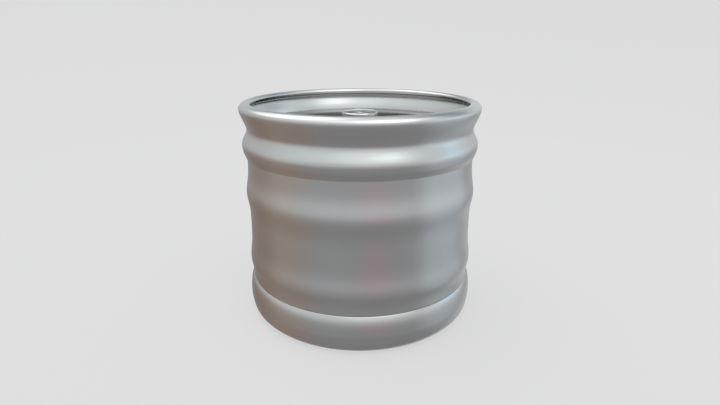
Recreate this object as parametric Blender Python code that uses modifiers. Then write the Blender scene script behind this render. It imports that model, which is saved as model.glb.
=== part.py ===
"""A 30 litre stainless steel beer keg with a double-sprung valve and down tube in its neck.

Units are metres and +Z is up. The origin is the middle of the ring that the keg stands on.
Every turned piece shares the keg's axis, x = y = 0. Touching pieces keep a gap of GAP.
"""

import math

import bmesh
import bpy

# ---------------------------------------------------------------- driving dimensions
WALL_RADIUS = 0.1948  # outside of the plain wall, half way up
RIM_TOP = 0.3693  # crest of the top chime
NECK_TOP = 0.3494
NECK_RADIUS = 0.0312
GAP = 0.0003

# ---------------------------------------------------------------- sheet and tube
SHEET = 0.0015
CHIME_SHEET = 0.0015
WALL_TAPER = 0.0118  # the wall's outside grows by this much for each metre downwards
RING_RISE_UPPER = 0.0047
RING_RISE_LOWER = 0.0036

# ---------------------------------------------------------------- heights
TOP_EDGE = 0.2796  # lower edge of the top chime, on the wall
BOTTOM_EDGE = 0.0668  # upper edge of the bottom chime, on the wall
TUCK = 0.0021  # how far the wall steps in under the bottom chime
WALL_HIGH = 0.2890
WALL_LOW = 0.0560
RING_UPPER = 0.2190
RING_LOWER = 0.1008
WELD_HEIGHT = 0.0016
DOME_RISE = 0.0350
BASE_DOME_DROP = 0.0360
DOME_SKIRT = 0.0030
NECK_LEDGE = NECK_TOP - 0.0164
SEAT_HEIGHT = NECK_TOP - 0.0184
TUBE_END = 0.0250
SUMP_DEPTH = 0.0040
SUMP_RADIUS = 0.0300

# ---------------------------------------------------------------- valve radii
LEDGE_RADIUS = 0.0250
HOUSING_RADIUS = NECK_RADIUS - 0.0042
SHANK_RADIUS = LEDGE_RADIUS - GAP
PROBE_RADIUS = 0.0214
SEAT_RADIUS = 0.0175
SEAL_RADIUS = 0.0206
BALL_RADIUS = 0.0087
HEAD_RADIUS = 0.0106
TUBE_RADIUS = 0.0080
TUBE_WALL = 0.0010

# ---------------------------------------------------------------- fineness
BIG_STEPS = 40
SMALL_STEPS = 32
TUBE_STEPS = 24
COIL_STEPS = 12
SMOOTH_ANGLE = math.radians(35)

KEG = bpy.data.collections.new("beer_keg")
CUTTERS = bpy.data.collections.new("cutters")


# ---------------------------------------------------------------- tools
def clear_scene():
    for item in list(bpy.data.objects):
        bpy.data.objects.remove(item, do_unlink=True)
    bpy.context.scene.collection.children.link(KEG)
    bpy.context.scene.collection.children.link(CUTTERS)


def material(name, colour, roughness, metallic):
    """One Principled finish, made once and shared by name."""
    finish = bpy.data.materials.get(name)
    if finish is None:
        finish = bpy.data.materials.new(name)
        finish.use_nodes = True
        shader = finish.node_tree.nodes["Principled BSDF"]
        shader.inputs["Base Color"].default_value = (*colour, 1.0)
        shader.inputs["Roughness"].default_value = roughness
        shader.inputs["Metallic"].default_value = metallic
    return finish


def steel():
    return material("satin_stainless", (0.56, 0.56, 0.57), 0.32, 1.0)


def weld_steel():
    return material("weld_bead", (0.50, 0.49, 0.47), 0.45, 1.0)


def bright_steel():
    return material("bright_stainless", (0.66, 0.66, 0.67), 0.18, 1.0)


def spring_steel():
    return material("spring_wire", (0.45, 0.45, 0.46), 0.28, 1.0)


def rubber():
    return material("black_rubber", (0.03, 0.03, 0.03), 0.55, 0.0)


def add(name, mesh, finish, collection=KEG):
    piece = bpy.data.objects.new(name, mesh)
    mesh.materials.append(finish)
    collection.objects.link(piece)
    return piece


def outline_mesh(name, outline, closed):
    """The (radius, height) points of a profile as edges in the XZ plane."""
    mesh = bpy.data.meshes.new(name)
    points = [(radius, 0.0, height) for radius, height in outline]
    edges = [(i, i + 1) for i in range(len(points) - 1)]
    if closed:
        edges.append((len(points) - 1, 0))
    mesh.from_pydata(points, edges, [])
    return mesh


def add_screw(piece, steps):
    screw = piece.modifiers.new("turn", "SCREW")
    screw.steps = steps
    screw.render_steps = steps
    screw.use_merge_vertices = True
    screw.merge_threshold = 0.00001
    screw.use_smooth_shade = True


def turned(name, outline, finish, steps=SMALL_STEPS):
    """A solid of revolution. Its outline runs down the outside and up the inside."""
    piece = add(name, outline_mesh(name, outline, closed=True), finish)
    add_screw(piece, steps)
    return piece


def turned_sheet(name, outline, thickness, finish):
    """A pressed sheet. Its outline is the outer face, from the top down the outside."""
    piece = add(name, outline_mesh(name, outline, closed=False), finish)
    add_screw(piece, BIG_STEPS)
    wall = piece.modifiers.new("sheet", "SOLIDIFY")
    wall.thickness = thickness
    wall.offset = -1.0
    wall.use_even_offset = True
    return piece


def box_cutter(name, size, centre):
    mesh = bpy.data.meshes.new(name)
    shape = bmesh.new()
    bmesh.ops.create_cube(shape, size=1.0)
    bmesh.ops.scale(shape, vec=size, verts=shape.verts)
    bmesh.ops.translate(shape, vec=centre, verts=shape.verts)
    shape.to_mesh(mesh)
    shape.free()
    cutter = add(name, mesh, steel(), CUTTERS)
    cutter.hide_render = True
    cutter.display_type = "WIRE"
    return cutter


def cut(piece, cutter):
    boolean = piece.modifiers.new(cutter.name, "BOOLEAN")
    boolean.operation = "DIFFERENCE"
    boolean.solver = "EXACT"
    boolean.object = cutter


def coil(name, bottom, top, radius, wire, turns, finish):
    """A compression spring of round wire, its last turn at each end wound closer."""
    curve = bpy.data.curves.new(name, "CURVE")
    curve.dimensions = "3D"
    curve.bevel_depth = wire / 2
    curve.bevel_resolution = 2
    curve.use_fill_caps = True
    count = turns * COIL_STEPS + 1
    spline = curve.splines.new("POLY")
    spline.points.add(count - 1)
    low = bottom + wire / 2
    rise = top - bottom - wire
    for i, point in enumerate(spline.points):
        share = i / (count - 1)
        angle = 2 * math.pi * turns * share
        height = low + rise * (share - math.sin(2 * math.pi * share) / (2 * math.pi) * 0.6)
        point.co = (radius * math.cos(angle), radius * math.sin(angle), height, 1.0)
    piece = bpy.data.objects.new(name, curve)
    curve.materials.append(finish)
    KEG.objects.link(piece)
    return piece


# ---------------------------------------------------------------- shapes in section
def bell(distance, half_width):
    return math.exp(-((distance / half_width) ** 2))


def wall_radius(height):
    """Outside of the wall: a slight taper, two rolled rings and the tuck at its foot."""
    radius = WALL_RADIUS + WALL_TAPER * (0.1500 - height)
    upper_spread = 0.0235 if height > RING_UPPER else 0.0200
    lower_spread = 0.0220 if height > RING_LOWER else 0.0150
    radius += RING_RISE_UPPER * bell(height - RING_UPPER, upper_spread)
    radius += RING_RISE_LOWER * bell(height - RING_LOWER, lower_spread)
    if height < BOTTOM_EDGE:
        radius -= TUCK
    return radius


def around_wall(stations):
    """Stations given as (distance out from WALL_RADIUS, height)."""
    return [(WALL_RADIUS + out, height) for out, height in stations]


def dome_height(radius, rim_radius, rise):
    """Height of an elliptical head above its rim."""
    return rise * math.sqrt(max(0.0, 1.0 - (radius / rim_radius) ** 2))


# ---------------------------------------------------------------- vessel
def make_wall():
    heights = (
        WALL_HIGH, 0.2550, 0.2380, 0.2265, 0.2115, 0.1960, 0.1600,
        0.1220, 0.1060, 0.0950, 0.0820, BOTTOM_EDGE + 0.0004, BOTTOM_EDGE - 0.0010, WALL_LOW,
    )
    outline = [(wall_radius(height), height) for height in heights]
    turned_sheet("body_wall", outline, SHEET, steel())


def make_top_dome():
    rim = wall_radius(WALL_HIGH)
    base = WALL_HIGH + WELD_HEIGHT + 2 * GAP
    radii = (NECK_RADIUS + 0.0006, 0.0900, 0.1400, 0.1700, 0.1860)
    foot = base + DOME_SKIRT
    outline = [(radius, foot + dome_height(radius, rim, DOME_RISE)) for radius in radii]
    outline.append((rim, foot))
    outline.append((rim, base))
    turned_sheet("top_dome", outline, SHEET, steel())


def make_bottom_dome():
    rim = wall_radius(WALL_LOW)
    base = WALL_LOW - WELD_HEIGHT - 2 * GAP
    radii = (0.1870, 0.1680, 0.1350, 0.0850, SUMP_RADIUS)
    foot = base - DOME_SKIRT
    outline = [(rim, base), (rim, foot)]
    outline.extend(
        (radius, foot - dome_height(radius, rim, BASE_DOME_DROP)) for radius in radii
    )
    centre = foot - BASE_DOME_DROP - SUMP_DEPTH
    outline.append((SUMP_RADIUS * 0.6, centre))
    outline.append((0.0, centre))
    turned_sheet("bottom_dome", outline, SHEET, steel())


def make_top_chime():
    """Rim curled back on itself, a waist for the grip, a bulge and an edge on the wall."""
    stations = (
        (0.0034, 0.3566), (-0.0006, 0.3560), (-0.0066, 0.3575), (-0.0106, 0.3610),
        (-0.0116, 0.3638), (-0.0104, 0.3674), (-0.0068, RIM_TOP), (-0.0038, RIM_TOP),
        (0.0008, 0.3681), (0.0045, 0.3657), (0.0071, 0.3624), (0.0078, 0.3592),
        (0.0071, 0.3550), (0.0036, 0.3457), (-0.0006, 0.3358), (-0.0030, 0.3260),
        (0.0001, 0.3162), (0.0030, 0.3102), (0.0050, 0.3054), (0.0057, 0.3003),
        (0.0044, 0.2913), (0.0003, TOP_EDGE),
    )
    turned_sheet("top_chime", around_wall(stations), CHIME_SHEET, steel())


def make_bottom_chime():
    """Bulged foot band, rolled under to a flat standing ring with its edge turned up."""
    stations = (
        (0.0009, BOTTOM_EDGE), (0.0039, 0.0612), (0.0064, 0.0500), (0.0073, 0.0340),
        (0.0046, 0.0142), (0.0003, 0.0070), (-0.0055, 0.0020), (-0.0110, 0.0),
        (-0.0210, 0.0), (-0.0270, 0.0020), (-0.0310, 0.0070), (-0.0318, 0.0130),
    )
    turned_sheet("bottom_chime", around_wall(stations), CHIME_SHEET, steel())


def seam_bead(name, low, radius):
    """A butt weld between the wall and a dome."""
    inside = radius - SHEET
    outline = (
        (radius, low + WELD_HEIGHT), (radius + 0.0002, low + WELD_HEIGHT / 2), (radius, low),
        (inside, low), (inside - 0.0004, low + WELD_HEIGHT / 2), (inside, low + WELD_HEIGHT),
    )
    turned(name, outline, weld_steel(), BIG_STEPS)


def fillet_bead(name, radius, height, leg, upward, steps):
    """A triangular weld whose corner is at (radius, height) and whose legs run out and up."""
    tip = height + leg * upward
    corners = [(radius, tip), (radius + leg, height), (radius, height)]
    if upward < 0:
        corners.reverse()
    turned(name, corners, weld_steel(), steps)


def make_welds():
    seam_bead("top_seam_weld", WALL_HIGH + GAP, wall_radius(WALL_HIGH))
    seam_bead("bottom_seam_weld", WALL_LOW - GAP - WELD_HEIGHT, wall_radius(WALL_LOW))
    top_corner = wall_radius(0.2850) + GAP
    fillet_bead("top_chime_weld", top_corner, 0.2850, 0.0016, 1, BIG_STEPS)
    bottom_corner = wall_radius(0.0646) + GAP
    fillet_bead("bottom_chime_weld", bottom_corner, 0.0646, 0.0009, -1, BIG_STEPS)
    neck_height = WALL_HIGH + WELD_HEIGHT + 2 * GAP + DOME_SKIRT + DOME_RISE
    fillet_bead("neck_weld", NECK_RADIUS + GAP, neck_height + 0.0002, 0.0026, 1, SMALL_STEPS)


# ---------------------------------------------------------------- neck and valve
def make_neck():
    """Turned neck with a ledge for the valve housing and a groove for its locking ring."""
    groove = NECK_TOP - 0.0048
    outline = (
        (NECK_RADIUS - 0.0012, NECK_TOP), (NECK_RADIUS - 0.0003, NECK_TOP - 0.0006),
        (NECK_RADIUS, NECK_TOP - 0.0016),
        (NECK_RADIUS, 0.3180), (LEDGE_RADIUS, 0.3180), (LEDGE_RADIUS, NECK_LEDGE),
        (HOUSING_RADIUS + GAP, NECK_LEDGE), (HOUSING_RADIUS + GAP, groove - 0.0008),
        (HOUSING_RADIUS + 0.0020, groove - 0.0008), (HOUSING_RADIUS + 0.0020, groove + 0.0016),
        (HOUSING_RADIUS + 0.0006, groove + 0.0016), (HOUSING_RADIUS + 0.0016, NECK_TOP),
    )
    turned("neck", outline, steel())


def make_housing():
    """Drop-in valve housing: probe bore, lug lip, gas seat and a shank that holds the basket."""
    top = NECK_TOP - 0.0058
    shoulder = NECK_LEDGE + 0.0021
    bore = SHANK_RADIUS - 0.0021
    outline = (
        (HOUSING_RADIUS - 0.0006, top), (HOUSING_RADIUS, top - 0.0006),
        (HOUSING_RADIUS, shoulder), (SHANK_RADIUS, shoulder), (SHANK_RADIUS, 0.3220),
        (bore, 0.3220), (bore, SEAT_HEIGHT), (SEAT_RADIUS, SEAT_HEIGHT),
        (SEAT_RADIUS, SEAT_HEIGHT + 0.0022), (0.0235, SEAT_HEIGHT + 0.0034),
        (0.0235, top - 0.0030), (PROBE_RADIUS, top - 0.0020), (PROBE_RADIUS, top - 0.0005),
        (PROBE_RADIUS + 0.0005, top),
    )
    housing = turned("valve_housing", outline, bright_steel())
    cut(housing, box_cutter("lug_slots", (0.0492, 0.0130, 0.0080), (0.0, 0.0, top)))
    return housing


def make_housing_seal():
    outline = (
        (0.0267, NECK_LEDGE + 0.0018), (0.0267, NECK_LEDGE + GAP),
        (0.0253, NECK_LEDGE + GAP), (0.0253, NECK_LEDGE + 0.0018),
    )
    turned("housing_seal", outline, rubber())


def make_locking_ring():
    """Split ring sprung into the neck's groove above the housing."""
    low = NECK_TOP - 0.0052
    high = low + 0.0013
    outline = ((0.0286, high), (0.0286, low), (0.0252, low), (0.0252, high))
    ring = turned("locking_ring", outline, bright_steel())
    cut(ring, box_cutter("ring_split", (0.0060, 0.0100, 0.0060), (0.0, 0.0270, low)))


def make_basket():
    """Cage below the housing that carries the main spring, with windows for the gas."""
    floor = 0.2935
    outline = (
        (0.0223, 0.3295), (0.0223, floor), (HEAD_RADIUS + 0.0006, floor),
        (HEAD_RADIUS + 0.0006, floor + 0.0015), (0.0211, floor + 0.0015), (0.0211, 0.3295),
    )
    basket = turned("spring_basket", outline, bright_steel())
    for name, size in (("window_x", (0.06, 0.015, 0.016)), ("window_y", (0.015, 0.06, 0.016))):
        cut(basket, box_cutter(name, size, (0.0, 0.0, 0.3090)))


def make_gas_seal():
    """Rubber ring: its outer face shuts the gas way and its inner edge seats the ball."""
    under = SEAT_HEIGHT - GAP
    top = under + 0.0053
    outline = (
        (0.0158, top), (0.0166, top - 0.0008), (0.0166, under), (SEAL_RADIUS, under),
        (SEAL_RADIUS, under - 0.0035), (0.0086, under - 0.0035), (0.0072, under - 0.0013),
        (0.0072, top - 0.0014), (0.0090, top),
    )
    turned("gas_seal", outline, rubber())


def make_spring_plate():
    high = SEAT_HEIGHT - GAP - 0.0054
    outline = ((0.0200, high), (0.0200, high - 0.0017), (0.0109, high - 0.0017), (0.0109, high))
    turned("spring_plate", outline, bright_steel())


def make_down_tube():
    """Tube to the sump; its widened head carries the gas seal and holds the ball."""
    head_top = SEAT_HEIGHT - GAP - 0.0038
    flange = 0.0140
    outline = (
        (flange, head_top), (flange, head_top - 0.0013), (HEAD_RADIUS, head_top - 0.0013),
        (HEAD_RADIUS, 0.2980), (TUBE_RADIUS, 0.2930), (TUBE_RADIUS, TUBE_END),
        (TUBE_RADIUS - TUBE_WALL, TUBE_END), (TUBE_RADIUS - TUBE_WALL, 0.2936),
        (HEAD_RADIUS - 0.0013, 0.2984), (HEAD_RADIUS - 0.0013, head_top),
    )
    turned("down_tube", outline, steel(), TUBE_STEPS)


def make_ball():
    mesh = bpy.data.meshes.new("valve_ball")
    shape = bmesh.new()
    bmesh.ops.create_uvsphere(shape, u_segments=20, v_segments=12, radius=BALL_RADIUS)
    shape.to_mesh(mesh)
    shape.free()
    ball = add("valve_ball", mesh, bright_steel())
    ball.location = (0.0, 0.0, SEAT_HEIGHT - 0.0070)
    ball.data.shade_smooth()


def make_ball_spring_seat():
    outline = ((0.0089, 0.3000), (0.0089, 0.2990), (0.0056, 0.2990), (0.0056, 0.3000))
    turned("ball_spring_seat", outline, bright_steel(), TUBE_STEPS)


def make_springs():
    coil("ball_spring", 0.3003, 0.3172, 0.0062, 0.0010, 5, spring_steel())
    plate_under = SEAT_HEIGHT - GAP - 0.0071
    coil("main_spring", 0.2953, plate_under - GAP, 0.0160, 0.0022, 5, spring_steel())


def shade():
    for piece in KEG.objects:
        if piece.type == "MESH":
            piece.data.set_sharp_from_angle(angle=SMOOTH_ANGLE)


def main():
    clear_scene()
    make_wall()
    make_top_dome()
    make_bottom_dome()
    make_top_chime()
    make_bottom_chime()
    make_welds()
    make_neck()
    make_housing()
    make_housing_seal()
    make_locking_ring()
    make_basket()
    make_gas_seal()
    make_spring_plate()
    make_down_tube()
    make_ball()
    make_ball_spring_seat()
    make_springs()
    shade()


main()
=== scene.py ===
"""The looks of a stainless steel beer keg: its fine turned pieces, their finishes and a studio.

The file is laid out as a Blender add-on and is run as a script. Units are metres and +Z is up.
"""

import math

import bmesh
import bpy
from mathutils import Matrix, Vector


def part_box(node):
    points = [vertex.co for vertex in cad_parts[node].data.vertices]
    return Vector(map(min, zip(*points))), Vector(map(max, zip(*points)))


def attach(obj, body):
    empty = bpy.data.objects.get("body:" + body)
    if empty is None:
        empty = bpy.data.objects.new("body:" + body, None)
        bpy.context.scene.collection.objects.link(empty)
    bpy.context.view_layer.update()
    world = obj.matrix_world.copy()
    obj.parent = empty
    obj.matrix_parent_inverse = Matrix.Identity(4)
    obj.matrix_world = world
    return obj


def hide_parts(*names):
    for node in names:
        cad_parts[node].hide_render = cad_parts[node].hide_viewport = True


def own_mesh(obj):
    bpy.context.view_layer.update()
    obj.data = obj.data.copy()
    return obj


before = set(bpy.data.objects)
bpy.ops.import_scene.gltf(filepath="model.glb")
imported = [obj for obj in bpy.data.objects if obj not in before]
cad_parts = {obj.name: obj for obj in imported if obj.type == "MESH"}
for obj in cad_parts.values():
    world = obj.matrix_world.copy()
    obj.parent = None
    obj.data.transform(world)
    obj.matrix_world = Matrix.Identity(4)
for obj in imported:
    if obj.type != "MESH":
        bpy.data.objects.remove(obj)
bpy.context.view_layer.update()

bl_info = {
    "name": "Beer Keg Finish",
    "version": (1, 0, 0),
    "blender": (4, 5, 0),
    "location": "3D View > Sidebar > Keg",
    "description": "Turns the keg's fine pieces, gives them their finishes and sets the studio",
    "category": "Add Mesh",
}

# Heights and radii that the pieces share, read from the frame.
RIM_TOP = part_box("top_chime")[1].z
TOP_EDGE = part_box("top_chime")[0].z
BOTTOM_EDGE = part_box("bottom_chime")[1].z
WALL_LOW, WALL_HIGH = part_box("body_wall")[0].z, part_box("body_wall")[1].z
NECK_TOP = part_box("neck")[1].z
NECK_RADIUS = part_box("neck")[1].x

# The wall: its radius behind the foot band, its taper, its two rolled rings and its tucked foot.
BAND_PROUD = 0.0073
WALL_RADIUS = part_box("bottom_chime")[1].x - BAND_PROUD
WALL_TAPER, TAPER_LEVEL = 0.0118, 0.1500
# Each ring: its height, how far it stands out, its spread above and its spread below.
RINGS = ((0.2190, 0.0047, 0.0235, 0.0210), (0.1008, 0.0036, 0.0220, 0.0150))
TUCK_START = BOTTOM_EDGE + 0.0004
TUCK_HEIGHT, TUCK_DEPTH = 0.0014, 0.0021

# The domes: their straight skirt, their rise, and the sump in the base.
SKIRT = 0.0030
HEAD_RISE, BASE_RISE = 0.0350, 0.0360
SUMP_RADIUS, SUMP_DEPTH = 0.0300, 0.0040

# Inside the neck: how deep the housing's ledge and the gas seal's seat lie below its mouth.
LEDGE_DEPTH, SEAT_DEPTH = 0.0164, 0.0184

SPRING_TURNS = 5
MERGE_DISTANCE = 0.00001


class KegShape(bpy.types.PropertyGroup):
    """Sizes that a user would change."""

    wall_sheet: bpy.props.FloatProperty(
        name="Wall sheet", description="Thickness of the wall and the two domes",
        default=0.0015, min=0.0008, max=0.003, unit="LENGTH",
    )
    chime_sheet: bpy.props.FloatProperty(
        name="Chime sheet", description="Thickness of the two chimes",
        default=0.0015, min=0.0008, max=0.003, unit="LENGTH",
    )
    edge_round: bpy.props.FloatProperty(
        name="Edge round", description="How far the sheet's cut edges are rounded",
        default=0.0004, min=0.0, max=0.0007, unit="LENGTH",
    )
    big_steps: bpy.props.IntProperty(
        name="Steps, pressings", description="Sides of the large turned pieces",
        default=224, min=48, max=256,
    )
    small_steps: bpy.props.IntProperty(
        name="Steps, valve", description="Sides of the turned pieces of the neck and valve",
        default=96, min=24, max=192,
    )


class KegFinish(bpy.types.PropertyGroup):
    """Colours and finishes that a user would change."""

    steel: bpy.props.FloatVectorProperty(
        name="Steel", description="Colour of the pressed stainless steel",
        subtype="COLOR", size=3, min=0.0, max=1.0, default=(0.62, 0.62, 0.62),
    )
    steel_roughness: bpy.props.FloatProperty(
        name="Steel roughness", description="Roughness of the satin finish",
        subtype="FACTOR", default=0.19, min=0.05, max=0.8,
    )
    bright: bpy.props.FloatVectorProperty(
        name="Bright steel", description="Colour of the machined neck and valve",
        subtype="COLOR", size=3, min=0.0, max=1.0, default=(0.68, 0.68, 0.68),
    )
    weld: bpy.props.FloatVectorProperty(
        name="Weld", description="Colour of the pickled welds",
        subtype="COLOR", size=3, min=0.0, max=1.0, default=(0.50, 0.49, 0.47),
    )
    rubber: bpy.props.FloatVectorProperty(
        name="Rubber", description="Colour of the rubber seals",
        subtype="COLOR", size=3, min=0.0, max=1.0, default=(0.022, 0.022, 0.023),
    )


class KegStudio(bpy.types.PropertyGroup):
    """The camera and the studio that a user would change."""

    distance: bpy.props.FloatProperty(
        name="Camera distance", description="From the camera to the point it looks at",
        default=0.8898, min=0.3, max=5.0, unit="LENGTH",
    )
    elevation: bpy.props.FloatProperty(
        name="Camera elevation", description="How far the camera looks down",
        default=math.radians(18.64), subtype="ANGLE", unit="ROTATION",
    )
    aim_height: bpy.props.FloatProperty(
        name="Aim height", description="Height of the point that the camera looks at",
        default=0.1843, min=0.0, max=1.0, unit="LENGTH",
    )
    view_angle: bpy.props.FloatProperty(
        name="View angle", description="Vertical angle of view",
        default=math.radians(45.0), subtype="ANGLE", unit="ROTATION",
    )
    floor: bpy.props.FloatVectorProperty(
        name="Floor", description="Colour of the floor and backdrop",
        subtype="COLOR", size=3, min=0.0, max=1.0, default=(0.15, 0.15, 0.15),
    )


# ---------------------------------------------------------------- outlines
def smooth_line(stations, spans=5):
    """Points of a smooth curve through the stations, as (radius, height)."""
    points = [Vector(station) for station in stations]
    padded = [2 * points[0] - points[1], *points, 2 * points[-1] - points[-2]]
    line = []
    for before, start, end, after in zip(padded, padded[1:], padded[2:], padded[3:]):
        for step in range(spans):
            t = step / spans
            line.append(
                0.5 * (
                    2 * start
                    + (end - before) * t
                    + (2 * before - 5 * start + 4 * end - after) * t * t
                    + (3 * start - before - 3 * end + after) * t ** 3
                )
            )
    line.append(points[-1])
    return [(point.x, point.y) for point in line]


def rounded(corners, radius, steps=3):
    """A closed outline whose every corner is rounded by an arc-like blend."""
    line = []
    count = len(corners)
    for index in range(count):
        before = Vector(corners[index - 1])
        corner = Vector(corners[index])
        after = Vector(corners[(index + 1) % count])
        reach = min(radius, 0.45 * (corner - before).length, 0.45 * (after - corner).length)
        start = corner + (before - corner).normalized() * reach
        end = corner + (after - corner).normalized() * reach
        for step in range(steps + 1):
            t = step / steps
            point = start * (1 - t) ** 2 + corner * 2 * t * (1 - t) + end * t ** 2
            line.append((point.x, point.y))
    return line


def bell(distance, spread):
    """A smooth hump that is 1 at no distance and dies away over the spread."""
    return math.exp(-((distance / spread) ** 2))


def wall_radius(height):
    """Outside of the wall: a slight taper, two rolled rings and the tuck at its foot."""
    radius = WALL_RADIUS + WALL_TAPER * (TAPER_LEVEL - height)
    for level, proud, spread_above, spread_below in RINGS:
        rise = height - level
        radius += proud * bell(rise, spread_above if rise > 0 else spread_below)
    tuck = min(1.0, max(0.0, (TUCK_START - height) / TUCK_HEIGHT))
    return radius - TUCK_DEPTH * tuck


def top_chime_line():
    """Outer face of the top chime, from the rim's curled edge over the bead and down to its foot.

    Each station is how far it stands out from the wall, and its height.
    """
    stations = (
        (0.0050, 0.3578), (0.0026, 0.3564), (-0.0010, 0.3560), (-0.0042, 0.3566),
        (-0.0078, 0.3583), (-0.0104, 0.3607), (-0.0116, 0.3635), (-0.0112, 0.3658),
        (-0.0096, 0.3679), (-0.0074, 0.3690), (-0.0048, RIM_TOP), (-0.0005, 0.3684),
        (0.0044, 0.3658), (0.0071, 0.3624), (0.0078, 0.3592), (0.0072, 0.3552),
        (0.0051, 0.3492), (0.0021, 0.3422), (-0.0006, 0.3358), (-0.0026, 0.3298),
        (-0.0030, 0.3260), (-0.0022, 0.3216), (0.0001, 0.3162), (0.0030, 0.3102),
        (0.0050, 0.3054), (0.0057, 0.3003), (0.0052, 0.2950), (0.0040, 0.2895),
        (0.0018, 0.2840), (0.0003, TOP_EDGE),
    )
    return smooth_line([(WALL_RADIUS + out, height) for out, height in stations])


def bottom_chime_line():
    """Outer face of the bottom chime, from its upper edge down to the foot and its curled edge."""
    side = (
        (0.0009, BOTTOM_EDGE), (0.0024, 0.0644), (0.0039, 0.0612), (0.0052, 0.0570),
        (0.0062, 0.0520), (0.0069, 0.0460), (0.0073, 0.0390), (0.0072, 0.0300),
        (0.0046, 0.0142), (0.0003, 0.0070), (-0.0055, 0.0020), (-0.0110, 0.0),
    )
    curl = ((-0.0210, 0.0), (-0.0270, 0.0020), (-0.0310, 0.0070), (-0.0318, 0.0130))
    line = smooth_line([(WALL_RADIUS + out, height) for out, height in side])
    return line + smooth_line([(WALL_RADIUS + out, height) for out, height in curl])


def top_dome_line(count=36):
    """Outer face of the head, from the neck's hole out to the skirt."""
    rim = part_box("top_dome")[1].x
    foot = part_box("top_dome")[0].z + SKIRT
    hole = NECK_RADIUS + 0.0006
    start = math.asin(hole / rim)
    line = []
    for step in range(count + 1):
        angle = start + (math.pi / 2 - start) * step / count
        line.append((rim * math.sin(angle), foot + HEAD_RISE * math.cos(angle)))
    line.append((rim, foot - SKIRT))
    return line


def bottom_dome_line(count=36):
    """Outer face of the base, from the skirt in to the sump in its middle."""
    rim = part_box("bottom_dome")[1].x
    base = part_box("bottom_dome")[1].z
    foot = base - SKIRT
    end = math.asin(SUMP_RADIUS / rim)
    line = [(rim, base)]
    for step in range(count + 1):
        angle = math.pi / 2 + (end - math.pi / 2) * step / count
        line.append((rim * math.sin(angle), foot - BASE_RISE * math.cos(angle)))
    lip = line[-1]
    bottom = foot - BASE_RISE - SUMP_DEPTH
    slope = (lip, (0.0265, lip[1] - 0.0008), (0.0215, bottom + 0.0006), (0.0170, bottom))
    line.extend(smooth_line(slope, spans=4)[1:])
    line.append((0.0, bottom))
    return line


# ---------------------------------------------------------------- making pieces
def link(piece):
    """Puts an object in the scene."""
    bpy.context.scene.collection.objects.link(piece)
    return piece


def outline_piece(name, line, closed):
    """A piece that is only its outline, standing at +X, as Screw turns it."""
    mesh = bpy.data.meshes.new(name)
    edges = [(index, index + 1) for index in range(len(line) - 1)]
    if closed:
        edges.append((len(line) - 1, 0))
    mesh.from_pydata([(radius, 0.0, height) for radius, height in line], edges, [])
    return link(bpy.data.objects.new(name, mesh))


def turn(piece, steps):
    """Turns an outline right round the axis."""
    screw = piece.modifiers.new("Turn about the axis", "SCREW")
    screw.steps = steps
    screw.render_steps = steps
    screw.use_merge_vertices = True
    screw.merge_threshold = MERGE_DISTANCE
    screw.use_smooth_shade = True


def soften(piece, width):
    """Rounds the cut edges of a sheet and leaves its smooth faces alone."""
    bevel = piece.modifiers.new("Soften edges", "BEVEL")
    bevel.width = width
    bevel.segments = 2
    bevel.limit_method = "ANGLE"
    bevel.angle_limit = math.radians(40)
    bevel.use_clamp_overlap = True


def pressed(name, line, thickness):
    """A pressed sheet: its outer face turned about the axis, then given its thickness."""
    shape = bpy.context.scene.keg_shape
    piece = outline_piece(name, line, closed=False)
    turn(piece, shape.big_steps)
    wall = piece.modifiers.new("Sheet thickness", "SOLIDIFY")
    wall.thickness = thickness
    wall.offset = -1.0
    wall.use_even_offset = True
    soften(piece, shape.edge_round)
    return piece


def turned(name, corners, radius, steps=None):
    """A turned solid, with its corners rounded to the radius."""
    piece = outline_piece(name, rounded(corners, radius), closed=True)
    turn(piece, steps or bpy.context.scene.keg_shape.small_steps)
    return piece


def flat_ring(name, node, hole, radius):
    """A ring as wide and as tall as its frame node, round a hole."""
    low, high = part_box(node)
    corners = ((high.x, high.z), (high.x, low.z), (hole, low.z), (hole, high.z))
    return turned(name, corners, radius)


def apply_stack(piece):
    """Replaces the piece's mesh by what its modifiers make."""
    graph = bpy.context.evaluated_depsgraph_get()
    mesh = bpy.data.meshes.new_from_object(piece.evaluated_get(graph))
    piece.modifiers.clear()
    piece.data = mesh


def cut_boxes(piece, boxes):
    """Cuts boxes, each given as its size and its centre, out of a turned piece."""
    for size, centre in boxes:
        mesh = bpy.data.meshes.new("cutter")
        shape = bmesh.new()
        bmesh.ops.create_cube(shape, size=1.0)
        bmesh.ops.scale(shape, vec=size, verts=shape.verts)
        bmesh.ops.translate(shape, vec=centre, verts=shape.verts)
        shape.to_mesh(mesh)
        shape.free()
        cutter = link(bpy.data.objects.new("cutter", mesh))
        boolean = piece.modifiers.new("Cut", "BOOLEAN")
        boolean.operation = "DIFFERENCE"
        boolean.solver = "EXACT"
        boolean.object = cutter
        bpy.context.view_layer.update()
        apply_stack(piece)
        bpy.data.objects.remove(cutter)
    piece.data.shade_smooth()
    piece.data.set_sharp_from_angle(angle=math.radians(38))


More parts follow.
